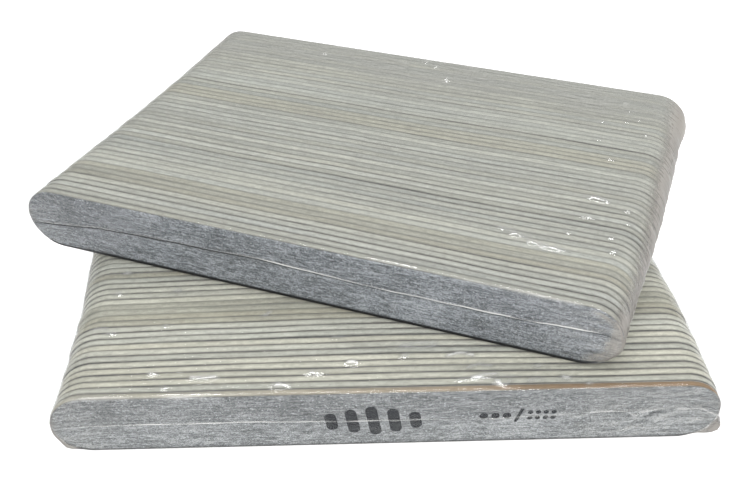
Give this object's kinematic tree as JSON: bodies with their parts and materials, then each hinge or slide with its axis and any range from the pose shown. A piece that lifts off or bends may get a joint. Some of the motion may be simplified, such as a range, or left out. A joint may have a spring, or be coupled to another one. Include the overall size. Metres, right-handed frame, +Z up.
{
  "type": "stack of shrink-wrapped nail file packs",
  "caption": "Flat retail packs of straight round-ended nail files, standing on edge side by side in clear shrink film, the top pack lying turned on the bottom one.",
  "frame": {"origin": "centre of the bottom of the whole stack's box, on the surface it stands on", "axes": "+X along the lower pack's files, +Y from the lower pack's front file to its back file, +Z up"},
  "size_m": [0.218, 0.1734, 0.0415],
  "materials": {
    "pale_wood": "bare sanded pale wood, some boards tan",
    "coarse_abrasive": "grey coated abrasive paper, coarse grit",
    "fine_abrasive": "grey coated abrasive paper, fine grit",
    "clear_film": "clear glossy shrink film, wrinkled at ends and seam"
  },
  "bodies": {
    "lower_pack": {"lower_front_file_core": "pale_wood", "lower_front_file_coarse_paper": "coarse_abrasive", "lower_front_file_fine_paper": "fine_abrasive", "lower_back_file_core": "pale_wood", "lower_back_file_coarse_paper": "coarse_abrasive", "lower_back_file_fine_paper": "fine_abrasive", "lower_files_row1_cores": "pale_wood", "lower_files_row1_coarse_papers": "coarse_abrasive", "lower_files_row1_fine_papers": "fine_abrasive", "lower_files_row2_cores": "pale_wood", "lower_files_row2_coarse_papers": "coarse_abrasive", "lower_files_row2_fine_papers": "fine_abrasive", "lower_files_row3_cores": "pale_wood", "lower_files_row3_coarse_papers": "coarse_abrasive", "lower_files_row3_fine_papers": "fine_abrasive", "lower_files_row4_cores": "pale_wood", "lower_files_row4_coarse_papers": "coarse_abrasive", "lower_files_row4_fine_papers": "fine_abrasive", "lower_files_row5_cores": "pale_wood", "lower_files_row5_coarse_papers": "coarse_abrasive", "lower_files_row5_fine_papers": "fine_abrasive", "lower_files_row6_cores": "pale_wood", "lower_files_row6_coarse_papers": "coarse_abrasive", "lower_files_row6_fine_papers": "fine_abrasive", "lower_shrink_film": "clear_film"},
    "upper_pack": {"upper_front_file_core": "pale_wood", "upper_front_file_coarse_paper": "coarse_abrasive", "upper_front_file_fine_paper": "fine_abrasive", "upper_back_file_core": "pale_wood", "upper_back_file_coarse_paper": "coarse_abrasive", "upper_back_file_fine_paper": "fine_abrasive", "upper_files_row1_cores": "pale_wood", "upper_files_row1_coarse_papers": "coarse_abrasive", "upper_files_row1_fine_papers": "fine_abrasive", "upper_files_row2_cores": "pale_wood", "upper_files_row2_coarse_papers": "coarse_abrasive", "upper_files_row2_fine_papers": "fine_abrasive", "upper_files_row3_cores": "pale_wood", "upper_files_row3_coarse_papers": "coarse_abrasive", "upper_files_row3_fine_papers": "fine_abrasive", "upper_files_row4_cores": "pale_wood", "upper_files_row4_coarse_papers": "coarse_abrasive", "upper_files_row4_fine_papers": "fine_abrasive", "upper_files_row5_cores": "pale_wood", "upper_files_row5_coarse_papers": "coarse_abrasive", "upper_files_row5_fine_papers": "fine_abrasive", "upper_files_row6_cores": "pale_wood", "upper_files_row6_coarse_papers": "coarse_abrasive", "upper_files_row6_fine_papers": "fine_abrasive", "upper_shrink_film": "clear_film"}
  },
  "joints": [
    {"name": "upper_pack_lift", "type": "slide", "parent": "lower_pack", "child": "upper_pack", "axis": [0, 0, 1], "range_m": [0, 0.06]}
  ]
}
